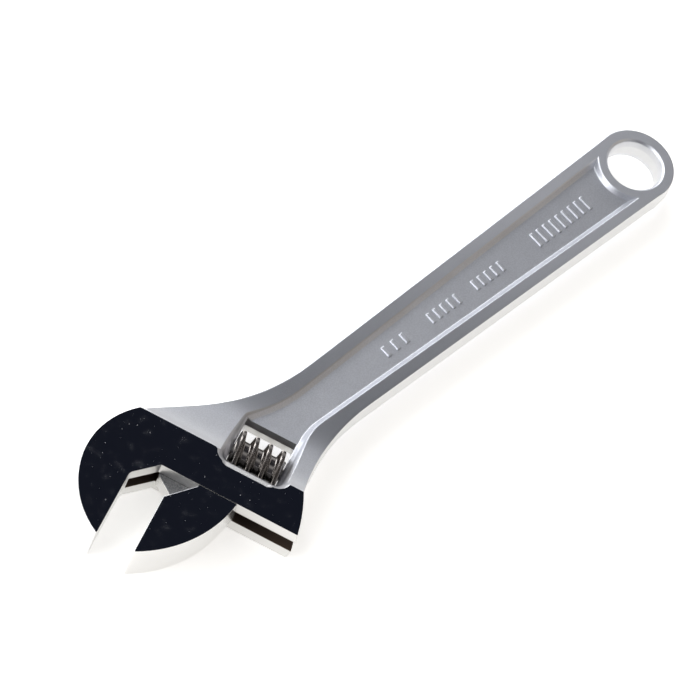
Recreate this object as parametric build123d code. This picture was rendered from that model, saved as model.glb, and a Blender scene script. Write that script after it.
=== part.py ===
from build123d import *

import math
import os

# Adjustable wrench of the 8 inch class, in millimetres.
# X is the way the jaw opens and the worm's axis. Y runs from the jaw tips towards the handle.
# Z runs through the thickness. The origin is the middle of the fixed jaw's flat face.

# Head
HEAD_THICKNESS = 12.7
HEAD_TOP = HEAD_THICKNESS / 2
DRAFT = 7.0                         # degrees, forged outer walls, widest at the mid-plane
GUIDE_Y = 16.0                      # flat face that the movable jaw slides along
GROUND_END_Y = 27.7                 # the ground faces stop here, at a step down to the forged neck
STEP_DEPTH = 1.0
STEP_SLOPE = 42.0                   # degrees from vertical
JAW_FACE_TOP_Y = 10.1               # the fixed face meets the throat's slope here
THROAT_FILLET = 2.0
BROW = (-6.3, 28.0)                 # corner where the ground face, the nose and the neck meet
NOSE = (-13.2, 12.0)
CHIN = (-12.7, 7.0)
FIXED_TIP = (0.0, -9.3)
FIXED_TIP_FLAT = 0.6
HEEL_LOW = (44.0, GUIDE_Y)
HEEL_MIDDLE = (42.7, 22.0)
HEEL_TOP = (40.4, 28.2)

# Handle, laid along its own axis, which runs from the head to the ring
HANDLE_ANGLE = 67.5                 # degrees from X
HANDLE_TOP = 4.05                   # half the thickness over the raised rims
RING_CENTRE = (79.7, 168.2)
RING_RADIUS = 11.6
RING_HALF_WIDTH = 11.5              # handle's half width beside the ring
NECK_HALF_WIDTH = 9.3               # half width at the start of the neck
NECK_DISTANCE = 116.0               # from the ring's centre to the start of the neck
NECK_CURVE = 60.0                   # radius of the curves on both sides of the neck
NECK_SLOPE_LEFT = 35.0              # degrees, the shoulder between the brow and the neck curve
NECK_SLOPE_RIGHT = 6.0              # degrees past upright, the side above the heel
SHOULDER_LENGTH = 24.0              # length over which the head's thickness falls to the handle's

# Recessed panel on both faces of the handle
PANEL_TOP = 2.6                     # half the thickness over the panel
PANEL_SLOPE = 40.0                  # degrees, slope of the rims' inner walls
PANEL_HALF_WIDTH_RING = 6.95
PANEL_HALF_WIDTH_NECK = 4.1
PANEL_BOSS_RADIUS = 11.5            # the panel ends in a hollow arc round the ring's boss
BOSS_LEAN = 0.6                     # how far the boss's wall leans in for each unit of its height
PANEL_FOOT_Y = 28.0                 # the panel's walls run on down both sides of the worm window
PANEL_KNEE = (19.6, 40.6)           # the left wall bends towards the window's side here
PANEL_FOOT_SLOPE_LEFT = 52.0        # degrees, the panel's sides near the window
PANEL_FOOT_SLOPE_RIGHT = 89.0
PANEL_CURVE_LEFT = 45.0
PANEL_CURVE_RIGHT = 20.0
PANEL_CORNER = 0.6

# Hang hole
HOLE_LAND_RADIUS = 7.3
HOLE_LAND_HALF = 1.5
HOLE_EDGE_RADIUS = 7.75
HOLE_EDGE_Z = 3.4
HOLE_MOUTH_RADIUS = 8.3

# Worm window, its sunk border and the worm
WORM_Y = 32.5
WORM_RADIUS = 5.8
WORM_ROOT_RADIUS = 3.5
WORM_LEAD = 3.65
WORM_LEFT = 19.15
WORM_RIGHT = 32.7
THREAD_CREST_HALF = 0.65            # half the thread's width at its crest
THREAD_FLANK = 15.0                 # degrees
THREAD_START = 19.69                # the crest passes the handle side of the worm here
WINDOW_LEFT = WORM_LEFT - 0.2
WINDOW_RIGHT = WORM_RIGHT + 0.2
WINDOW_BOTTOM = WORM_Y - WORM_RADIUS - 0.3
WINDOW_TOP = WORM_Y + WORM_RADIUS + 1.7
WINDOW_CORNER = 0.8
SINK_LEFT_TOP = 16.2                # outline of the sunk border, where it leaves the step's line ...
SINK_LEFT_LOW = 18.5
SINK_RIGHT_LOW = 32.5
SINK_RIGHT_TOP = 34.1
SINK_Y = WINDOW_BOTTOM - 2.3        # ... and its lower side
SINK_FLARE = 3.4                    # fillets where the border's sides flow into the step's line
SINK_CORNER = 1.4
SILL_Y = 41.0                       # the panel's floor stops here and slopes down to the window
SILL_Z = 1.3

# Keyhole: the rack's round bore and the web's slot
RACK_Y = 24.0
RACK_RADIUS = 4.6
RACK_CLEARANCE = 0.15
RACK_LEFT = 7.0
RACK_RIGHT = 38.8
RACK_FLAT_Y = 28.4                  # tops of the rack's teeth
RACK_TOOTH_CLEARANCE = 0.25
RACK_END_CHAMFER = 0.5
BORE_LEFT = -3.6
SLOT_HALF = 2.45
SLOT_LOW = (0.3, 10.4)              # the slot's left edge rises from the fixed face, ...
SLOT_HIGH = (-4.3, 15.8)            # ... to here, and then goes straight up to the bore
WEB_HALF = 2.35

# Movable jaw, at rest
MOUTH = 10.05
BLADE_TOP_Y = GUIDE_Y - 0.2
BLADE_SLOPE_LOW = (MOUTH, 8.5)
BLADE_SLOPE_HIGH = (16.0, 15.1)
BLADE_SHOULDER = (16.3, BLADE_TOP_Y)
BLADE_TIP_Y = -9.1
BLADE_TIP_FLAT = 0.6
BLADE_BELLY = (21.9, 1.5)
BLADE_HEEL = (27.4, BLADE_TOP_Y)
WEB_LOW = (12.9, 10.45)             # the web's left edge rises from here, inside the blade, ...
WEB_HIGH = (6.3, 15.4)              # ... to here, and then goes straight up to the rack
WEB_INNER_RIGHT = (24.0, 10.45)
WEB_OUTER_RIGHT = (26.8, BLADE_TOP_Y)
WEB_TOP_Y = RACK_Y - 0.3            # inside the rack bar, and clear of the slot's end when closed

# Worm pin and spring
PIN_RADIUS = 1.6
PIN_LEFT = 12.6
PIN_RIGHT = 39.0
PIN_THREAD_RADIUS = 2.3
PIN_THREAD_LEFT = 33.2
PIN_SLOT_WIDTH = 0.8
PIN_SLOT_DEPTH = 1.2
WORM_BORE_RADIUS = 1.66
SPRING_SEAT_RADIUS = 2.7
SPRING_SEAT_DEPTH = 4.2
SPRING_RADIUS = 2.2                 # to the middle of the wire
SPRING_WIRE = 0.5
SPRING_TURNS = 4


def line_crossing(start, start_angle, end, end_angle):
    """The point where a line from each of two points, at the given angles, meet."""
    a = math.radians(start_angle)
    b = math.radians(end_angle)
    across = (end[0] - start[0]) * math.sin(b) - (end[1] - start[1]) * math.cos(b)
    reach = across / math.sin(b - a)
    return (start[0] + reach * math.cos(a), start[1] + reach * math.sin(a))


def handle_point(along, aside):
    """A point in the handle's own frame: along from the ring's centre, aside towards the brow."""
    a = math.radians(HANDLE_ANGLE)
    x = RING_CENTRE[0] + along * math.cos(a) - aside * math.sin(a)
    y = RING_CENTRE[1] + along * math.sin(a) + aside * math.cos(a)
    return (x, y)


def mirrored_pair(solid):
    return solid + mirror(solid, about=Plane.XY)


def slab(outline, half_thickness):
    """A straight-walled plate, centred on the mid-plane."""
    return extrude(outline, amount=half_thickness, both=True)


def along_x(radius, left, right, y):
    """A round bar or bore along X."""
    return Pos(left, y, 0) * Rot(0, 90, 0) * extrude(Circle(radius), amount=right - left)


def head_outline():
    nose = ThreePointArc(BROW, NOSE, CHIN)
    tip_end = (FIXED_TIP[0] - FIXED_TIP_FLAT, FIXED_TIP[1])
    chin = TangentArc(CHIN, tip_end, tangent=nose % 1)
    spare = 2.0
    mouth_side = Polyline(
        tip_end,
        (spare, FIXED_TIP[1]),
        (spare, JAW_FACE_TOP_Y - spare),
        (spare * 4, GUIDE_Y - spare),
        (HEEL_LOW[0], GUIDE_Y - spare),
        HEEL_LOW,
    )
    heel = ThreePointArc(HEEL_LOW, HEEL_MIDDLE, HEEL_TOP)
    return make_face(nose + chin + mouth_side + heel + Line(HEEL_TOP, BROW))


def handle_outline():
    taper = math.degrees(math.atan2(RING_HALF_WIDTH - NECK_HALF_WIDTH, NECK_DISTANCE))
    left = handle_point(-NECK_DISTANCE, NECK_HALF_WIDTH)
    right = handle_point(-NECK_DISTANCE, -NECK_HALF_WIDTH)
    left_corner = line_crossing(BROW, NECK_SLOPE_LEFT, left, HANDLE_ANGLE + taper)
    right_corner = line_crossing(HEEL_TOP, 90 + NECK_SLOPE_RIGHT, right, HANDLE_ANGLE - taper)
    corners = [
        BROW,
        left_corner,
        handle_point(0, RING_HALF_WIDTH),
        handle_point(0, -RING_HALF_WIDTH),
        right_corner,
        HEEL_TOP,
    ]
    radii = [0, NECK_CURVE, 0, 0, NECK_CURVE, 0]
    return make_face(FilletPolyline(*corners, radius=radii, close=True))


def forging_blank():
    ring = Pos(*RING_CENTRE) * Circle(RING_RADIUS)
    outline = head_outline() + handle_outline() + ring
    return mirrored_pair(extrude(outline, amount=HEAD_TOP, taper=DRAFT))


def thickness_profile():
    """Side view: full thickness over the ground head, then a smooth fall to the handle's rims."""
    far = RING_CENTRE[1] + 2 * RING_RADIUS
    near = FIXED_TIP[1] - RING_RADIUS
    step_foot = GROUND_END_Y + STEP_DEPTH * math.tan(math.radians(STEP_SLOPE))
    step_top = HEAD_TOP - STEP_DEPTH
    shoulder_end = GROUND_END_Y + SHOULDER_LENGTH
    middle = (step_foot + shoulder_end) / 2
    fall = Bezier(
        (step_foot, step_top),
        (middle, step_top),
        (middle, HANDLE_TOP),
        (shoulder_end, HANDLE_TOP),
    )
    rest = Polyline(
        (shoulder_end, HANDLE_TOP),
        (far, HANDLE_TOP),
        (far, 0),
        (near, 0),
        (near, HEAD_TOP),
        (step_foot, HEAD_TOP),
        (step_foot, step_top),
    )
    half = make_face(Plane.YZ * (fall + rest))
    width = 4 * RING_CENTRE[0]
    return mirrored_pair(extrude(half, amount=width / 2, both=True))


def panel_recess():
    """One face's sunk panel; its floor outline grows upwards into the sloping rim walls."""
    widening = (PANEL_HALF_WIDTH_RING - PANEL_HALF_WIDTH_NECK) / NECK_DISTANCE
    taper = math.degrees(math.atan(widening))
    foot_right = (WINDOW_RIGHT, PANEL_FOOT_Y)
    left = handle_point(-NECK_DISTANCE, PANEL_HALF_WIDTH_NECK)
    right = handle_point(-NECK_DISTANCE, -PANEL_HALF_WIDTH_NECK)
    corners = [
        (WINDOW_LEFT, PANEL_FOOT_Y),
        PANEL_KNEE,
        line_crossing(PANEL_KNEE, PANEL_FOOT_SLOPE_LEFT, left, HANDLE_ANGLE + taper),
        handle_point(0, PANEL_HALF_WIDTH_RING),
        handle_point(0, -PANEL_HALF_WIDTH_RING),
        line_crossing(foot_right, PANEL_FOOT_SLOPE_RIGHT, right, HANDLE_ANGLE - taper),
        foot_right,
    ]
    radii = [PANEL_CORNER, PANEL_CORNER, PANEL_CURVE_LEFT, 0, 0, PANEL_CURVE_RIGHT, PANEL_CORNER]
    floor = make_face(FilletPolyline(*corners, radius=radii, close=True))
    depth = HEAD_TOP - PANEL_TOP
    recess = Pos(0, 0, PANEL_TOP) * extrude(floor, amount=depth, taper=-PANEL_SLOPE)
    boss = Cone(PANEL_BOSS_RADIUS, PANEL_BOSS_RADIUS - depth * BOSS_LEAN, depth)
    past_ring = Pos(*handle_point(PANEL_BOSS_RADIUS, 0), PANEL_TOP) * Rot(0, 0, HANDLE_ANGLE)
    beyond = past_ring * extrude(Rectangle(2 * PANEL_BOSS_RADIUS, 4 * PANEL_BOSS_RADIUS), amount=depth)
    return recess - Pos(*RING_CENTRE, PANEL_TOP + depth / 2) * boss - beyond


def mouth_cut():
    """Machined faces: fixed jaw face, throat slope and guide face."""
    far = 2 * HEEL_LOW[0]
    corners = [
        (0, -far),
        (0, JAW_FACE_TOP_Y),
        (GUIDE_Y - JAW_FACE_TOP_Y, GUIDE_Y),
        (far, GUIDE_Y),
        (far, -far),
    ]
    outline = make_face(FilletPolyline(*corners, radius=[0, THROAT_FILLET, 0, 0, 0], close=True))
    return slab(outline, HEAD_THICKNESS)


def keyhole_cut():
    """Round bore for the rack and the slot for the web, both open at the heel."""
    far = 2 * HEEL_LOW[0]
    bore = along_x(RACK_RADIUS + RACK_CLEARANCE, BORE_LEFT, far, RACK_Y)
    slot = Polyline(
        SLOT_LOW,
        SLOT_HIGH,
        (SLOT_HIGH[0], RACK_Y),
        (far, RACK_Y),
        (far, SLOT_LOW[1]),
        close=True,
    )
    return bore + slab(make_face(slot), SLOT_HALF)


def window_cut():
    width = WINDOW_RIGHT - WINDOW_LEFT
    height = WINDOW_TOP - WINDOW_BOTTOM
    centre = ((WINDOW_LEFT + WINDOW_RIGHT) / 2, (WINDOW_BOTTOM + WINDOW_TOP) / 2)
    return slab(Pos(*centre) * RectangleRounded(width, height, WINDOW_CORNER), HEAD_THICKNESS)


def ground_step():
    """What the forging lacks above its step: all beyond the ground face, and a bay round the window."""
    outside = 2 * HEEL_LOW[0]
    far = GROUND_END_Y + SHOULDER_LENGTH
    run = STEP_DEPTH * math.tan(math.radians(STEP_SLOPE))
    corners = [
        (-outside, GROUND_END_Y + run),
        (SINK_LEFT_TOP + run, GROUND_END_Y + run),
        (SINK_LEFT_LOW + run, SINK_Y + run),
        (SINK_RIGHT_LOW - run, SINK_Y + run),
        (SINK_RIGHT_TOP - run, GROUND_END_Y + run),
        (outside, GROUND_END_Y + run),
        (outside, far),
        (-outside, far),
    ]
    radii = [0, SINK_FLARE + run, SINK_CORNER, SINK_CORNER, SINK_FLARE + run, 0, 0, 0]
    floor = make_face(FilletPolyline(*corners, radius=radii, close=True))
    return Pos(0, 0, HEAD_TOP - STEP_DEPTH) * extrude(floor, amount=STEP_DEPTH, taper=-STEP_SLOPE)


def sill_cut():
    """Slope from the panel's foot down to the window's handle side."""
    side = Polyline(
        (WINDOW_TOP, SILL_Z),
        (SILL_Y, PANEL_TOP),
        (SILL_Y, HEAD_TOP),
        (WINDOW_TOP - WINDOW_CORNER, HEAD_TOP),
        (WINDOW_TOP - WINDOW_CORNER, SILL_Z),
        close=True,
    )
    left = PANEL_KNEE[0] - PANEL_CORNER
    return Pos(left, 0, 0) * extrude(make_face(Plane.YZ * side), amount=WINDOW_RIGHT - left)


def hang_hole():
    flare = (HOLE_MOUTH_RADIUS - HOLE_EDGE_RADIUS) / (HANDLE_TOP - HOLE_EDGE_Z)
    spare = 1.0
    outside = HOLE_MOUTH_RADIUS + spare * flare
    profile = make_face(Polyline(
        (0, HANDLE_TOP + spare),
        (outside, HANDLE_TOP + spare),
        (HOLE_MOUTH_RADIUS, HANDLE_TOP),
        (HOLE_EDGE_RADIUS, HOLE_EDGE_Z),
        (HOLE_LAND_RADIUS, HOLE_LAND_HALF),
        (HOLE_LAND_RADIUS, -HOLE_LAND_HALF),
        (HOLE_EDGE_RADIUS, -HOLE_EDGE_Z),
        (HOLE_MOUTH_RADIUS, -HANDLE_TOP),
        (outside, -HANDLE_TOP - spare),
        (0, -HANDLE_TOP - spare),
        close=True,
    ))
    return Pos(*RING_CENTRE) * revolve(Plane.XZ * profile, Axis.Z)


def wrench_body():
    body = forging_blank() & thickness_profile()
    body = body - mirrored_pair(ground_step())
    body = body - mirrored_pair(panel_recess())
    body = body - mouth_cut()
    body = body - window_cut()
    body = body - mirrored_pair(sill_cut())
    body = body - keyhole_cut()
    body = body - hang_hole()
    body = body - along_x(PIN_RADIUS, PIN_LEFT, WINDOW_LEFT, WORM_Y)
    body = body - along_x(PIN_THREAD_RADIUS, WINDOW_RIGHT, HEEL_LOW[0], WORM_Y)
    return body


def blade():
    """The movable jaw's gripping part: a drafted outer edge, straight machined inner faces."""
    spare = 2.0
    tip_end = (MOUTH + BLADE_TIP_FLAT, BLADE_TIP_Y)
    belly = ThreePointArc(tip_end, BLADE_BELLY, BLADE_HEEL)
    rest = Polyline(
        BLADE_HEEL,
        (BLADE_HEEL[0], BLADE_TOP_Y + spare),
        (MOUTH - spare, BLADE_TOP_Y + spare),
        (MOUTH - spare, BLADE_TIP_Y),
        tip_end,
    )
    blank = mirrored_pair(extrude(make_face(belly + rest), amount=HEAD_TOP, taper=DRAFT))
    far = 2 * HEEL_LOW[0]
    machined = Polyline(
        (MOUTH, -far),
        BLADE_SLOPE_LOW,
        BLADE_SLOPE_HIGH,
        BLADE_SHOULDER,
        (far, BLADE_TOP_Y),
        (far, -far),
        close=True,
    )
    return blank & slab(make_face(machined), HEAD_THICKNESS)


def rack_gaps():
    """Slanted gaps between the rack's teeth, one for each turn of the thread along the bar."""
    lean = -WORM_LEAD / (2 * math.pi * (WORM_RADIUS + WORM_ROOT_RADIUS) / 2)
    bottom_y = WORM_Y - WORM_RADIUS - RACK_TOOTH_CLEARANCE
    top_y = WORM_Y - WORM_ROOT_RADIUS
    spread = math.tan(math.radians(THREAD_FLANK))
    bottom_half = THREAD_CREST_HALF + RACK_TOOTH_CLEARANCE
    top_half = bottom_half + (top_y - bottom_y) * spread
    reach = 2 * RACK_RADIUS
    slant = Vector(lean, 0, 1).normalized()
    length = reach * Vector(lean, 0, 1).length
    turns_before = math.ceil((THREAD_START - RACK_LEFT) / WORM_LEAD)
    x = THREAD_START + WORM_LEAD / 2 - turns_before * WORM_LEAD
    gaps = []
    while x < RACK_RIGHT + WORM_LEAD / 2:
        outline = make_face(Polyline(
            (x - bottom_half, bottom_y),
            (x + bottom_half, bottom_y),
            (x + top_half, top_y),
            (x - top_half, top_y),
            close=True,
        ))
        start = Pos(-lean * reach / 2, 0, -reach / 2)
        gaps.append(start * extrude(outline, amount=length, dir=slant))
        x += WORM_LEAD
    return gaps


def movable_jaw():
    web = Polyline(
        WEB_LOW,
        WEB_HIGH,
        (WEB_HIGH[0], WEB_TOP_Y),
        (WEB_OUTER_RIGHT[0], WEB_TOP_Y),
        WEB_OUTER_RIGHT,
        WEB_INNER_RIGHT,
        close=True,
    )
    rack = along_x(RACK_RADIUS, RACK_LEFT, RACK_RIGHT, RACK_Y)
    rack = chamfer(rack.edges().filter_by(GeomType.CIRCLE), RACK_END_CHAMFER)
    flat = Pos(RACK_LEFT, RACK_FLAT_Y, 0) * Box(
        4 * RACK_RIGHT, 2 * RACK_RADIUS, 4 * RACK_RADIUS, align=(Align.CENTER, Align.MIN, Align.CENTER)
    )
    rack = rack - flat
    for gap in rack_gaps():
        rack = rack - gap
    return blade() + slab(make_face(web), WEB_HALF) + rack


def worm_thread():
    """A right-hand trapezoidal thread, longer than the worm at both ends."""
    depth = WORM_RADIUS - WORM_ROOT_RADIUS
    root_half = THREAD_CREST_HALF + depth * math.tan(math.radians(THREAD_FLANK))
    overlap = 0.3
    turns = math.ceil((WORM_RIGHT - WORM_LEFT) / WORM_LEAD) + 3
    helix = Helix(pitch=WORM_LEAD, height=turns * WORM_LEAD, radius=WORM_ROOT_RADIUS)
    profile = make_face(Polyline(
        (WORM_ROOT_RADIUS - overlap, -root_half),
        (WORM_RADIUS, -THREAD_CREST_HALF),
        (WORM_RADIUS, THREAD_CREST_HALF),
        (WORM_ROOT_RADIUS - overlap, root_half),
        close=True,
    ))
    return sweep(Plane.XZ * profile, path=helix, is_frenet=True)


def adjusting_worm():
    first_turn = THREAD_START - 2 * WORM_LEAD
    # the helix starts on its own X axis, which the turn to the row's X axis lays towards the handle
    to_row = Pos(first_turn, WORM_Y, 0) * Rot(0, 90, 0) * Rot(0, 0, 90)
    worm = along_x(WORM_ROOT_RADIUS, WORM_LEFT, WORM_RIGHT, WORM_Y)
    envelope = along_x(WORM_RADIUS + 1, WORM_LEFT, WORM_RIGHT, WORM_Y)
    worm = worm + (to_row * worm_thread() & envelope)
    worm = worm - along_x(WORM_BORE_RADIUS, WORM_LEFT, WORM_RIGHT, WORM_Y)
    return worm - along_x(SPRING_SEAT_RADIUS, WORM_RIGHT - SPRING_SEAT_DEPTH, WORM_RIGHT, WORM_Y)


def worm_pin():
    """Plain shank that the worm turns on, with a slotted screw end in the heel wall."""
    shank = along_x(PIN_RADIUS, PIN_LEFT, PIN_RIGHT, WORM_Y)
    screw_end = along_x(PIN_THREAD_RADIUS, PIN_THREAD_LEFT, PIN_RIGHT, WORM_Y)
    slot = Pos(PIN_RIGHT, WORM_Y, 0) * Box(2 * PIN_SLOT_DEPTH, 4 * PIN_RADIUS, PIN_SLOT_WIDTH)
    return shank + screw_end - slot


def worm_spring():
    """Takes up the worm's end play; it sits round the pin in the worm's counterbore."""
    seat = WORM_RIGHT - SPRING_SEAT_DEPTH
    gap = 0.1
    length = WINDOW_RIGHT - seat - SPRING_WIRE - 2 * gap
    helix = Helix(pitch=length / SPRING_TURNS, height=length, radius=SPRING_RADIUS)
    wire = Plane(helix @ 0, z_dir=helix % 0) * Circle(SPRING_WIRE / 2)
    coil = sweep(wire, path=helix, is_frenet=True)
    return Pos(seat + gap + SPRING_WIRE / 2, WORM_Y, 0) * Rot(0, 90, 0) * coil


NODES = {
    "wrench_body": wrench_body,
    "movable_jaw": movable_jaw,
    "adjusting_worm": adjusting_worm,
    "worm_pin": worm_pin,
    "worm_spring": worm_spring,
}

os.makedirs("parts", exist_ok=True)
for name, build in NODES.items():
    node = build()
    export_step(node, f"parts/{name}.step")
    print(f"{name}: {len(node.solids())} solid, {node.volume:.0f} mm3")
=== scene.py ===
import math

import bmesh
import bpy
from mathutils import Matrix, Vector


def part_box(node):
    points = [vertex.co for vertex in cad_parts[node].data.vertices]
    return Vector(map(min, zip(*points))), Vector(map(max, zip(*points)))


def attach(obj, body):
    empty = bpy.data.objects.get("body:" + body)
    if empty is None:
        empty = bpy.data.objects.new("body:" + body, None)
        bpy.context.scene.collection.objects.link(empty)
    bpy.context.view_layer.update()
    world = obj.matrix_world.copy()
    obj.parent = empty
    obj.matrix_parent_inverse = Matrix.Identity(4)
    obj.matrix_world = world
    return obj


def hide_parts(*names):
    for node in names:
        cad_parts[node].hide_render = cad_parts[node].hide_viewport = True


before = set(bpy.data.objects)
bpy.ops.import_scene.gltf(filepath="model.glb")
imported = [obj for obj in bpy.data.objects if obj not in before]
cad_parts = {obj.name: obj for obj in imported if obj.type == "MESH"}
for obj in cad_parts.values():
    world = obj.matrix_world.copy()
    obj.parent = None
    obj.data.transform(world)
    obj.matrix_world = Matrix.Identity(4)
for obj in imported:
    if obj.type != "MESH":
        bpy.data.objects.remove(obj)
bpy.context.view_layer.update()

MM = 0.001

# The head's flat side, and the floor that it lies on
HEAD_LOW, HEAD_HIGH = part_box("wrench_body")
SIDE_Z = HEAD_HIGH.z
FLOOR_Z = HEAD_LOW.z

# Places on the wrench, in metres
GUIDE_Y = 16.0 * MM                     # the face that the jaw slides along
GROUND_END_Y = 27.7 * MM                # the polished sides end here, at the step to the forged neck
SLOT_HALF = 2.45 * MM                   # half the width of the slot that the jaw's web runs in
RACK_Y = 24.0 * MM                      # axis of the jaw's rack and of its bore in the head
BORE_RADIUS = 4.75 * MM
BORE_LEFT = -3.6 * MM                   # closed end of that bore
WINDOW_TOP = 40.0 * MM                  # the worm window's wall on the handle's side
SILL_END = 41.2 * MM                    # the slope between that wall and the panel ends here
BOSS_Y = 158.0 * MM                     # the panel's walls end here, near the ring
PANEL_Z = 2.6 * MM
RIM_Z = 4.05 * MM
RING_CENTRE = Vector((79.7, 168.2, 0)) * MM
HANDLE_ANGLE = math.radians(67.5)       # from X to the handle's own axis
HANDLE_ALONG = Vector((math.cos(HANDLE_ANGLE), math.sin(HANDLE_ANGLE), 0))
HANDLE_ASIDE = Vector((-math.sin(HANDLE_ANGLE), math.cos(HANDLE_ANGLE), 0))
CLIMB_HEIGHT = 2.6 * MM                 # the forged skin's rise to the ground face, and its length
CLIMB_LENGTH = 3.0 * MM

# Adjusting worm
WORM_LOW, WORM_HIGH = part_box("adjusting_worm")
WORM_AXIS = (WORM_LOW + WORM_HIGH) / 2
WORM_RADIUS = (WORM_HIGH.z - WORM_LOW.z) / 2
WORM_ROOT = 3.5 * MM
WORM_BORE = 1.66 * MM
WORM_LEAD = 3.65 * MM
WORM_START = 19.69 * MM                 # the crest passes the handle side of the worm here
CREST_HALF = 0.52 * MM                  # half the crest's width, and the bevel on its edges
CREST_EDGE = 0.12 * MM
THREAD_FLANK = math.radians(12)
ROOT_FILLET = 0.35 * MM
THREAD_SINK = 0.2 * MM                  # the thread reaches this far into the core
KNURL_TEETH = 80
KNURL_DEPTH = 0.28 * MM
KNURL_STEPS = 4                         # sections of the thread for each tooth
SMOOTH_ANGLE = math.radians(32)         # edges that turn more than this stay sharp
SEAT_RADIUS = 2.7 * MM                  # the spring's seat, in the worm's right end
SEAT_DEPTH = 4.2 * MM
CORE_BEVEL = 0.25 * MM
CORE_SIDES = 96

# Plain raised bars on both panels: (distance from the ring's centre, bars, pitch, length, width)
BAR_HEIGHT = 0.4 * MM
BAR_SLOPE = 0.16 * MM
BAR_GROUPS = [
    (20.0 * MM, 9, 2.5 * MM, 4.6 * MM, 1.2 * MM),
    (54.0 * MM, 5, 2.5 * MM, 3.3 * MM, 1.2 * MM),
    (71.0 * MM, 5, 2.5 * MM, 3.3 * MM, 1.2 * MM),
    (91.0 * MM, 3, 3.4 * MM, 3.3 * MM, 1.4 * MM),
]

# Camera: high over the jaws, turned so that the handle runs up to the right
CAMERA_PLACE = Vector((29.9, -342.5, 644.5)) * MM
CAMERA_FORWARD = Vector((0.0052, 0.5435, -0.8393)).normalized()
CAMERA_ROLL = math.radians(62.06)
CAMERA_LENS = 154.29                    # millimetres, for a sensor 36 mm wide
SENSOR_WIDTH = 36.0

# Studio
FLOOR_HALF = 3.0
PAPER_GLOW = 0.60
LIGHT_TARGET = Vector((0.03, 0.06, 0))
LIGHTS = {                              # name: (place, size in metres, watts)
    "key": ((-1.1, 0.9, 0.9), 1.7, 24),
    "fill": ((-0.9, -0.9, 0.6), 0.8, 9),
}
ROOM = (0.9, 0.9, 0.9, 1.0)
ZONES = [                               # (direction, degrees of full colour, degrees where it ends, colour)
    (Vector((0.0, 0.54, 0.84)), 17, 45, (0.012, 0.014, 0.022, 1.0)),
    (Vector((0.05, -0.85, 0.50)), 25, 60, (0.08, 0.08, 0.09, 1.0)),
    (Vector((1.0, 0.1, 0.15)), 10, 50, (0.44, 0.37, 0.28, 1.0)),
]


# ---------------------------------------------------------------- node helpers

class Nodes:
    """One material's node tree, with a short call for each kind of node that the materials use."""

    def __init__(self, name):
        self.material = bpy.data.materials.new(name)
        self.material.use_nodes = True
        self.tree = self.material.node_tree
        self.shader = self.tree.nodes["Principled BSDF"]
        self.coords = self.tree.nodes.new("ShaderNodeTexCoord")

    def add(self, kind, **settings):
        node = self.tree.nodes.new(kind)
        for key, value in settings.items():
            setattr(node, key, value)
        return node

    def put(self, value, socket):
        """Links an output to a socket, or sets the socket to a plain value."""
        if isinstance(value, bpy.types.NodeSocket):
            self.tree.links.new(value, socket)
        else:
            socket.default_value = value

    def math(self, operation, a, b=0.0):
        node = self.add("ShaderNodeMath", operation=operation)
        self.put(a, node.inputs[0])
        self.put(b, node.inputs[1])
        return node.outputs[0]

    def product(self, first, *others):
        """Everything multiplied together; of masks, 1 where every one of them is 1."""
        for other in others:
            first = self.math("MULTIPLY", first, other)
        return first

    def ramp(self, value, low, high):
        """0 below low, 1 above high, smooth between; low may be above high."""
        node = self.add("ShaderNodeMapRange", interpolation_type="SMOOTHSTEP")
        self.put(value, node.inputs["Value"])
        flip = low > high
        node.inputs["From Min"].default_value = min(low, high)
        node.inputs["From Max"].default_value = max(low, high)
        node.inputs["To Min"].default_value = 1.0 if flip else 0.0
        node.inputs["To Max"].default_value = 0.0 if flip else 1.0
        return node.outputs["Result"]

    def axes(self, vector):
        node = self.add("ShaderNodeSeparateXYZ")
        self.put(vector, node.inputs[0])
        return node.outputs

    def noise(self, size, detail=2.0, stretch=(1, 1, 1)):
        """Noise whose features are about size metres across, in the piece's own coordinates."""
        mapping = self.add("ShaderNodeMapping")
        self.put(self.coords.outputs["Object"], mapping.inputs["Vector"])
        mapping.inputs["Scale"].default_value = [1 / (size * s) for s in stretch]
        node = self.add("ShaderNodeTexNoise")
        self.put(mapping.outputs[0], node.inputs["Vector"])
        node.inputs["Scale"].default_value = 1.0
        node.inputs["Detail"].default_value = detail
        return node.outputs["Fac"]

    def blend(self, amount, a, b):
        """Colour a where amount is 0, and b where it is 1."""
        node = self.add("ShaderNodeMix", data_type="RGBA")
        self.put(amount, node.inputs["Factor"])
        self.put(a, node.inputs["A"])
        self.put(b, node.inputs["B"])
        return node.outputs["Result"]

    def level(self, amount, a, b):
        """Number a where amount is 0, and b where it is 1."""
        node = self.add("ShaderNodeMix", data_type="FLOAT")
        self.put(amount, node.inputs["Factor"])
        self.put(a, node.inputs["A"])
        self.put(b, node.inputs["B"])
        return node.outputs["Result"]

    def bump(self, height, distance, strength=1.0, normal=None):
        node = self.add("ShaderNodeBump")
        self.put(height, node.inputs["Height"])
        self.put(distance, node.inputs["Distance"])
        self.put(strength, node.inputs["Strength"])
        if normal is not None:
            self.put(normal, node.inputs["Normal"])
        return node.outputs[0]

    def soft_edges(self, radius):
        node = self.add("ShaderNodeBevel", samples=8)
        self.put(radius, node.inputs["Radius"])
        return node.outputs[0]

    def finish(self, colour, roughness, normal=None, metallic=1.0):
        self.put(colour, self.shader.inputs["Base Color"])
        self.put(roughness, self.shader.inputs["Roughness"])
        self.put(metallic, self.shader.inputs["Metallic"])
        if normal is not None:
            self.put(normal, self.shader.inputs["Normal"])
        return self.material


def grey(value, blue=1.0):
    """A grey; blue above 1 makes it cooler, and below 1 warmer."""
    return (value, value * (0.75 + 0.25 * blue), value * blue, 1.0)


# ---------------------------------------------------------------- materials

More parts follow.
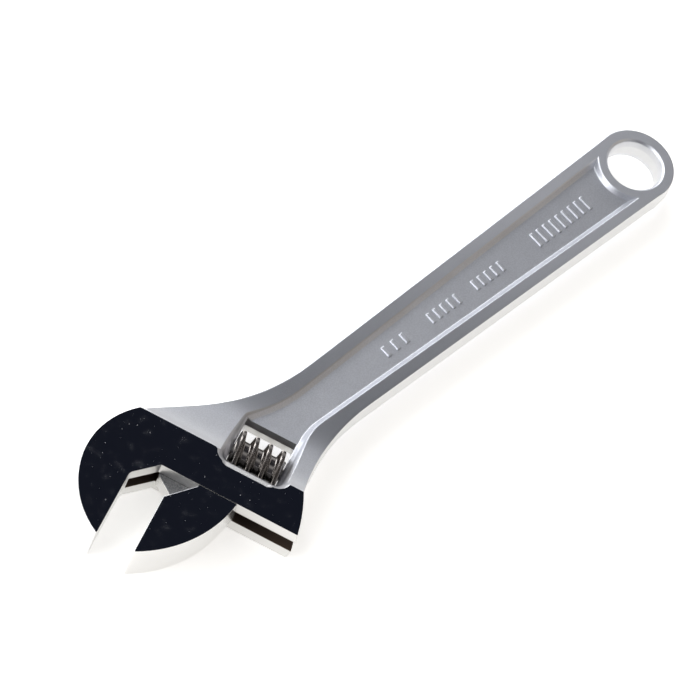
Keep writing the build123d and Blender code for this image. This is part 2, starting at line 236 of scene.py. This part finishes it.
def polished_side(n, z, flatness):
    """1 on the flat sides of the head, which are ground and polished, and 0 elsewhere."""
    high = n.ramp(n.math("ABSOLUTE", z), SIDE_Z - 0.05 * MM, SIDE_Z - 0.02 * MM)
    return n.product(high, n.ramp(flatness, 0.96, 0.99))


def side_edge(n, y):
    """Rounding of the polished sides' edges, which stay sharp at the gap between jaw and guide."""
    from_gap = n.math("ABSOLUTE", n.math("SUBTRACT", y, GUIDE_Y))
    return n.level(n.ramp(from_gap, 0.7 * MM, 0.4 * MM), 0.12 * MM, 0.015 * MM)


def polished_finish(n):
    """Colour and roughness of the polished sides: hazy in patches, with fine pits and hairlines."""
    wear = n.noise(3 * MM, detail=4.0)
    colour = n.blend(wear, grey(0.58, 1.07), grey(0.64, 1.06))
    haze = n.level(n.ramp(wear, 0.48, 0.75), 0.04, 0.15)
    pits = n.ramp(n.noise(0.7 * MM, detail=5.0), 0.69, 0.74)
    hairlines = n.ramp(n.noise(0.35 * MM, detail=2.0, stretch=(1, 16, 1)), 0.72, 0.80)
    marks = n.math("MAXIMUM", pits, n.product(hairlines, 0.4))
    return colour, n.level(marks, haze, 0.42)


def machined_faces(n, x, y, along, flatness):
    """1 on the ground faces: the mouth's, and the worm window's wall on the handle's side."""
    upright = n.ramp(flatness, 0.05, 0.02)
    in_mouth = n.product(n.ramp(y, GUIDE_Y + 0.1 * MM, GUIDE_Y), n.ramp(x, -0.1 * MM, 0.0))
    window_wall = n.product(
        n.ramp(y, WINDOW_TOP - 0.3 * MM, WINDOW_TOP - 0.1 * MM),
        n.ramp(along, -0.9, -0.99),
        n.ramp(y, WINDOW_TOP + 0.3 * MM, WINDOW_TOP + 0.1 * MM),
    )
    return n.product(upright, n.math("MAXIMUM", in_mouth, window_wall))


def keyhole_faces(n, x, y, z, flatness):
    """1 inside the rack's bore and the web's slot, where the body is painted dark brown as shade."""
    from_rack = n.math("SUBTRACT", y, RACK_Y)
    reach = n.math("SQRT", n.math("ADD", n.product(from_rack, from_rack), n.product(z, z)))
    in_bore = n.product(
        n.ramp(reach, BORE_RADIUS + 0.2 * MM, BORE_RADIUS + 0.05 * MM),
        n.ramp(x, BORE_LEFT - 0.3 * MM, BORE_LEFT - 0.1 * MM),
    )
    in_slot = n.product(
        n.ramp(n.math("ABSOLUTE", z), SLOT_HALF + 0.06 * MM, SLOT_HALF + 0.02 * MM),
        n.ramp(y, RACK_Y, RACK_Y - 1 * MM),
    )
    return n.math("MAXIMUM", in_bore, n.product(in_slot, n.ramp(flatness, 0.7, 0.9)))


def panel_slopes(n, y, across, along, flatness):
    """Two masks: the sill between window and panel, and the rims' inner walls that face one way; both are
    painted darker as shade.
    """
    sloping = n.product(n.ramp(flatness, 0.45, 0.55), n.ramp(flatness, 0.9, 0.8))
    sill = n.product(
        sloping,
        n.ramp(y, WINDOW_TOP - 0.2 * MM, WINDOW_TOP),
        n.ramp(y, SILL_END + 0.2 * MM, SILL_END),
        n.ramp(along, -0.6, -0.7),
    )
    shaded_rim_wall = n.product(
        sloping,
        n.ramp(y, SILL_END, SILL_END + 2 * MM),
        n.ramp(across, 0.3, -0.3),
        n.ramp(y, BOSS_Y, BOSS_Y - 4 * MM),
    )
    return sill, shaded_rim_wall


def satin_finish(n, skin, cloud, rim_top, by_ring):
    """Colour and roughness of the forged skin, where the rims' worn tops differ from the rest."""
    dim = n.blend(cloud, grey(0.58, 1.11), grey(0.66, 1.10))
    bright = n.blend(cloud, grey(0.65, 1.11), grey(0.74, 1.10))
    colour = n.blend(n.ramp(skin, 0.35, 0.65), dim, bright)
    colour = n.blend(rim_top, colour, n.blend(by_ring, grey(0.46, 1.12), grey(0.74, 1.10)))
    rough = n.level(skin, 0.37, 0.50)
    return colour, n.level(rim_top, rough, n.level(by_ring, 0.34, 0.42))


def body_edges(n, y, on_side):
    """Rounded edges, which are tighter round the worm's window and on the polished sides."""
    near_worm = n.product(
        n.ramp(y, SILL_END + 2 * MM, SILL_END),
        n.ramp(y, GROUND_END_Y - 4 * MM, GROUND_END_Y),
    )
    radius = n.level(near_worm, 0.45 * MM, 0.2 * MM)
    return n.soft_edges(n.level(on_side, radius, side_edge(n, y)))


def body_material():
    """Satin chrome over a forged skin, with polished flat sides and ground jaw faces."""
    n = Nodes("satin_chrome")
    x, y, z = n.axes(n.coords.outputs["Object"])
    across, along, facing = n.axes(n.coords.outputs["Normal"])
    height = n.math("ABSOLUTE", z)
    flatness = n.math("ABSOLUTE", facing)

    on_side = polished_side(n, z, flatness)
    machined = machined_faces(n, x, y, along, flatness)
    shaded_keyhole = keyhole_faces(n, x, y, z, flatness)
    sill, shaded_rim_wall = panel_slopes(n, y, across, along, flatness)
    rim_top = n.product(
        n.ramp(height, RIM_Z + 0.9 * MM, RIM_Z),
        n.ramp(height, RIM_Z - 0.5 * MM, RIM_Z - 0.1 * MM),
    )
    by_ring = n.ramp(y, WINDOW_TOP, BOSS_Y)

    # the forged skin climbs in a hollow curve to the ground face, and a painted highlight makes it brighter
    # there
    past_end = n.math("MAXIMUM", n.math("SUBTRACT", y, GROUND_END_Y), 0.0)
    climb = n.math("EXPONENT", n.product(past_end, -1 / CLIMB_LENGTH))
    on_neck = n.product(n.ramp(flatness, 0.5, 0.8), n.ramp(height, RIM_Z, RIM_Z + 0.8 * MM))

    skin = n.noise(0.30 * MM, detail=3.0)
    cloud = n.noise(7 * MM, detail=3.0)
    lines = n.noise(0.08 * MM, detail=1.0, stretch=(30, 30, 1))

    polished, polished_rough = polished_finish(n)
    satin, satin_rough = satin_finish(n, skin, cloud, rim_top, by_ring)
    # painted reflection: the upright walls are painted lighter, for the white floor that they mirror
    satin = n.blend(n.ramp(flatness, 0.3, 0.2), satin, grey(0.78))
    # painted shade: the rims' inner walls that face one way, and the sill, are painted darker
    satin = n.blend(shaded_rim_wall, satin, grey(0.44, 1.10))
    satin = n.blend(sill, satin, grey(0.40))
    # painted highlight on the skin's climb to the ground face
    satin = n.blend(n.product(climb, on_neck), satin, grey(1.0, 1.03))
    ground = n.blend(lines, grey(0.70, 0.97), grey(0.80, 0.97))
    # painted shade: the walls of the bore and slot get a dark brown for the shade inside them
    dark = n.blend(cloud, (0.10, 0.075, 0.06, 1.0), (0.16, 0.12, 0.10, 1.0))
    colour = n.blend(on_side, satin, polished)
    colour = n.blend(machined, colour, ground)
    colour = n.blend(shaded_keyhole, colour, dark)

    satin_rough = n.level(sill, satin_rough, 0.30)
    rough = n.level(on_side, satin_rough, polished_rough)
    rough = n.level(machined, rough, 0.30)
    rough = n.level(shaded_keyhole, rough, 0.6)

    smooth = n.math("MAXIMUM", on_side, machined)
    skin_bump = n.bump(n.level(smooth, skin, 0.5), 0.05 * MM, 0.8, body_edges(n, y, on_side))
    ground_bump = n.bump(n.level(machined, 0.5, lines), 0.004 * MM, 1.0, skin_bump)
    normal = n.bump(n.product(climb, CLIMB_HEIGHT), 1.0, on_neck, ground_bump)
    return n.finish(colour, rough, normal)


def jaw_material():
    """Polished flat sides and belly, ground inner faces, and a dark speckled web and rack."""
    n = Nodes("polished_chrome")
    _, y, z = n.axes(n.coords.outputs["Object"])
    _, _, facing = n.axes(n.coords.outputs["Normal"])
    height = n.math("ABSOLUTE", z)
    flatness = n.math("ABSOLUTE", facing)
    on_side = polished_side(n, z, flatness)
    in_keyhole = n.product(
        n.ramp(height, BORE_RADIUS + 0.15 * MM, BORE_RADIUS - 0.25 * MM),
        n.ramp(y, GUIDE_Y - 0.1 * MM, GUIDE_Y + 0.1 * MM),
    )
    on_web = n.product(n.ramp(height, SLOT_HALF, SLOT_HALF - 0.1 * MM), n.ramp(flatness, 0.6, 0.9))
    inner = n.math("MAXIMUM", in_keyhole, on_web)

    skin = n.noise(0.3 * MM, detail=3.0)
    speckle = n.ramp(n.noise(0.22 * MM, detail=2.0), 0.35, 0.65)
    lines = n.noise(0.08 * MM, detail=1.0, stretch=(30, 30, 1))

    polished, polished_rough = polished_finish(n)
    wall = n.blend(lines, grey(0.72, 0.98), grey(0.82, 0.98))
    web = n.blend(speckle, grey(0.22, 1.05), grey(0.40, 1.05))
    colour = n.blend(on_side, wall, polished)
    colour = n.blend(inner, colour, web)
    rough = n.level(on_side, 0.27, polished_rough)
    rough = n.level(inner, rough, 0.5)

    grain = n.level(inner, 0.5, skin)
    edges = n.soft_edges(n.level(on_side, 0.3 * MM, side_edge(n, y)))
    return n.finish(colour, rough, n.bump(grain, 0.03 * MM, 0.8, edges))


def worm_material():
    """Dark, slightly oily chrome; the turned root shows fine rings."""
    n = Nodes("dark_chrome")
    wear = n.noise(1.5 * MM, detail=3.0)
    rings = n.noise(0.12 * MM, detail=1.0, stretch=(1, 40, 40))
    colour = n.blend(wear, (0.20, 0.185, 0.175, 1.0), (0.40, 0.375, 0.36, 1.0))
    rough = n.level(wear, 0.14, 0.26)
    return n.finish(colour, rough, n.bump(rings, 0.006 * MM, 0.8))


def turned_material(name, value, roughness):
    """Turned or drawn bare steel."""
    n = Nodes(name)
    wear = n.noise(1.0 * MM, detail=3.0)
    rings = n.noise(0.10 * MM, detail=1.0, stretch=(1, 30, 30))
    colour = n.blend(wear, grey(value * 0.8, 0.98), grey(value, 0.98))
    rough = n.level(wear, roughness - 0.05, roughness + 0.05)
    return n.finish(colour, rough, n.bump(rings, 0.008 * MM, 0.7))


# ---------------------------------------------------------------- worm

def thread_section(angle):
    """The thread's section at an angle round the worm: (offset along the axis, radius) pairs."""
    tooth = 0.5 - 0.5 * math.cos(angle * KNURL_TEETH)
    crest = WORM_RADIUS - KNURL_DEPTH * tooth
    edge = crest - CREST_EDGE
    foot = CREST_HALF + (edge - WORM_ROOT - ROOT_FILLET) * math.tan(THREAD_FLANK)
    side = [
        (CREST_HALF - CREST_EDGE, crest),
        (CREST_HALF, edge),
        (foot, WORM_ROOT + ROOT_FILLET),
        (foot + 0.35 * ROOT_FILLET, WORM_ROOT + 0.3 * ROOT_FILLET),
        (foot + ROOT_FILLET, WORM_ROOT),
        (foot + ROOT_FILLET, WORM_ROOT - THREAD_SINK),
    ]
    return [(-offset, radius) for offset, radius in reversed(side)] + side


def round_worm(x, radius, angle):
    """The place at a radius and an angle round the worm's axis."""
    return (x, WORM_AXIS.y + radius * math.cos(angle), WORM_AXIS.z + radius * math.sin(angle))


def join(bm, ring, after):
    """A closed band of faces between two rings of vertices."""
    for i in range(len(ring)):
        k = (i + 1) % len(ring)
        bm.faces.new((ring[i], ring[k], after[k], after[i]))


def thread_mesh(bm):
    """The knurled thread, which runs past both ends of the worm."""
    turns_before = math.ceil((WORM_START - WORM_LOW.x) / WORM_LEAD) + 1
    turns = turns_before + math.ceil((WORM_HIGH.x - WORM_START) / WORM_LEAD) + 1
    steps_per_turn = KNURL_TEETH * KNURL_STEPS
    rows = []
    for i in range(turns * steps_per_turn + 1):
        angle = 2 * math.pi * i / steps_per_turn
        start = WORM_START + (i / steps_per_turn - turns_before) * WORM_LEAD
        section = thread_section(angle)
        rows.append([bm.verts.new(round_worm(start + offset, radius, angle)) for offset, radius in section])
    for row, after in zip(rows, rows[1:]):
        join(bm, row, after)
    bm.faces.new(rows[0])
    bm.faces.new(list(reversed(rows[-1])))


def trim(bm, x, side):
    """Cuts the mesh with the plane at x and closes the cut; side is the outward direction."""
    geometry = bm.verts[:] + bm.edges[:] + bm.faces[:]
    cut = bmesh.ops.bisect_plane(
        bm, geom=geometry, plane_co=(x, 0, 0), plane_no=(side, 0, 0), clear_outer=True, dist=1e-7
    )
    edges = [e for e in cut["geom_cut"] if isinstance(e, bmesh.types.BMEdge)]
    bmesh.ops.triangle_fill(bm, edges=edges, use_beauty=True, use_dissolve=False)


def core_mesh(bm):
    """The root cylinder with its bore and the spring's seat, turned from a closed section."""
    left = WORM_LOW.x
    right = WORM_HIGH.x
    section = [
        (left, WORM_BORE),
        (left, WORM_ROOT - CORE_BEVEL),
        (left + CORE_BEVEL, WORM_ROOT),
        (right - CORE_BEVEL, WORM_ROOT),
        (right, WORM_ROOT - CORE_BEVEL),
        (right, SEAT_RADIUS),
        (right - SEAT_DEPTH, SEAT_RADIUS),
        (right - SEAT_DEPTH, WORM_BORE),
    ]
    rings = []
    for i in range(CORE_SIDES):
        angle = 2 * math.pi * i / CORE_SIDES
        rings.append([bm.verts.new(round_worm(x, radius, angle)) for x, radius in section])
    for i in range(CORE_SIDES):
        join(bm, rings[i], rings[(i + 1) % CORE_SIDES])


def new_piece(name, bm, material):
    bmesh.ops.recalc_face_normals(bm, faces=bm.faces)
    mesh = bpy.data.meshes.new(name)
    bm.to_mesh(mesh)
    bm.free()
    mesh.materials.append(material)
    piece = bpy.data.objects.new(name, mesh)
    bpy.context.scene.collection.objects.link(piece)
    return piece


def adjusting_worm(material):
    """The worm with its knurled thread, which takes the CAD worm's place."""
    bm = bmesh.new()
    thread_mesh(bm)
    trim(bm, WORM_LOW.x, -1)
    trim(bm, WORM_HIGH.x, 1)
    core_mesh(bm)
    worm = new_piece("knurled_worm", bm, material)
    worm.data.shade_smooth()
    worm.data.set_sharp_from_angle(angle=SMOOTH_ANGLE)
    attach(worm, "worm")
    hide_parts("adjusting_worm")


# ---------------------------------------------------------------- raised bars

def raised_bar(bm, centre, length, width, side):
    """A low bar across the panel with sloping sides; side is 1 on the upper panel, -1 on the lower."""
    rings = []
    for z, shrink in ((PANEL_Z - BAR_HEIGHT, -BAR_SLOPE), (PANEL_Z + BAR_HEIGHT, BAR_SLOPE)):
        aside = HANDLE_ASIDE * (length / 2 - shrink)
        along = HANDLE_ALONG * (width / 2 - shrink)
        ring = []
        for u, v in ((1, 1), (1, -1), (-1, -1), (-1, 1)):
            place = centre + aside * u + along * v
            ring.append(bm.verts.new((place.x, place.y, side * z)))
        rings.append(ring)
    low, high = rings
    bm.faces.new(low)
    bm.faces.new(high)
    join(bm, low, high)


def panel_bars(material):
    """Groups of plain bars, which stand on the panels where such a wrench has its lettering."""
    bm = bmesh.new()
    for side in (1, -1):
        for distance, bars, pitch, length, width in BAR_GROUPS:
            for i in range(bars):
                centre = RING_CENTRE - HANDLE_ALONG * (distance + i * pitch)
                raised_bar(bm, centre, length, width, side)
    piece = new_piece("panel_bars", bm, material)
    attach(piece, "frame")


# ---------------------------------------------------------------- stage

def camera():
    """Looks along CAMERA_FORWARD, turned by CAMERA_ROLL about it."""
    up = (Vector((0, 0, 1)) - CAMERA_FORWARD * CAMERA_FORWARD.z).normalized()
    side = CAMERA_FORWARD.cross(up)
    image_right = math.cos(CAMERA_ROLL) * up + math.sin(CAMERA_ROLL) * side
    image_up = math.sin(CAMERA_ROLL) * up - math.cos(CAMERA_ROLL) * side
    data = bpy.data.cameras.new("camera")
    data.lens = CAMERA_LENS
    data.sensor_width = SENSOR_WIDTH
    data.clip_start = 0.05
    data.clip_end = 20.0
    turn = Matrix((image_right, image_up, -CAMERA_FORWARD)).transposed().to_4x4()
    obj = bpy.data.objects.new("camera", data)
    obj.matrix_world = Matrix.Translation(CAMERA_PLACE) @ turn
    bpy.context.scene.collection.objects.link(obj)
    bpy.context.scene.camera = obj


def floor():
    """A sheet of white paper under the wrench, which glows a little, as if lit from all round."""
    n = Nodes("paper")
    tone = n.blend(n.noise(0.4, detail=2.0), (0.90, 0.90, 0.90, 1.0), (0.92, 0.92, 0.915, 1.0))
    n.shader.inputs["Emission Color"].default_value = (1.0, 0.985, 0.955, 1.0)
    n.shader.inputs["Emission Strength"].default_value = PAPER_GLOW
    n.finish(tone, 0.9, metallic=0.0)
    bm = bmesh.new()
    corners = ((-1, -1), (1, -1), (1, 1), (-1, 1))
    bm.faces.new([bm.verts.new((x * FLOOR_HALF, y * FLOOR_HALF, FLOOR_Z)) for x, y in corners])
    new_piece("floor", bm, n.material)


def area_light(name, place, size, power):
    """A square light that faces the middle of the wrench."""
    data = bpy.data.lights.new(name, "AREA")
    data.shape = "SQUARE"
    data.size = size
    data.energy = power
    obj = bpy.data.objects.new(name, data)
    obj.location = place
    obj.rotation_euler = (LIGHT_TARGET - Vector(place)).to_track_quat("-Z", "Y").to_euler()
    bpy.context.scene.collection.objects.link(obj)


def zone_mask(tree, direction, coords, inner, outer):
    """1 within inner degrees of the zone's centre, and 0 beyond outer degrees."""
    dot = tree.nodes.new("ShaderNodeVectorMath")
    dot.operation = "DOT_PRODUCT"
    dot.inputs[1].default_value = direction.normalized()
    tree.links.new(coords.outputs["Generated"], dot.inputs[0])
    fade = tree.nodes.new("ShaderNodeMapRange")
    fade.interpolation_type = "SMOOTHSTEP"
    fade.inputs["From Min"].default_value = math.cos(math.radians(outer))
    fade.inputs["From Max"].default_value = math.cos(math.radians(inner))
    tree.links.new(dot.outputs["Value"], fade.inputs["Value"])
    return fade.outputs["Result"]


def studio_world():
    """A pale studio with darker zones, which the polished steel mirrors."""
    world = bpy.data.worlds.new("studio")
    bpy.context.scene.world = world
    world.use_nodes = True
    tree = world.node_tree
    coords = tree.nodes.new("ShaderNodeTexCoord")
    light = None
    for direction, inner, outer, colour in ZONES:
        zone = tree.nodes.new("ShaderNodeMix")
        zone.data_type = "RGBA"
        zone.inputs["A"].default_value = ROOM
        if light is not None:
            tree.links.new(light, zone.inputs["A"])
        zone.inputs["B"].default_value = colour
        tree.links.new(zone_mask(tree, direction, coords, inner, outer), zone.inputs["Factor"])
        light = zone.outputs["Result"]
    tree.links.new(light, tree.nodes["Background"].inputs["Color"])


# ---------------------------------------------------------------- build

camera()
studio_world()
floor()
for name, (place, size, power) in LIGHTS.items():
    area_light(name, place, size, power)

looks = {
    "wrench_body": body_material(),
    "movable_jaw": jaw_material(),
    "worm_pin": turned_material("pin_steel", 0.5, 0.3),
    "worm_spring": turned_material("spring_steel", 0.45, 0.3),
}
for name, material in looks.items():
    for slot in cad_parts[name].material_slots:
        slot.material = material
adjusting_worm(worm_material())
panel_bars(looks["wrench_body"])

bpy.context.scene.view_settings.view_transform = "Standard"
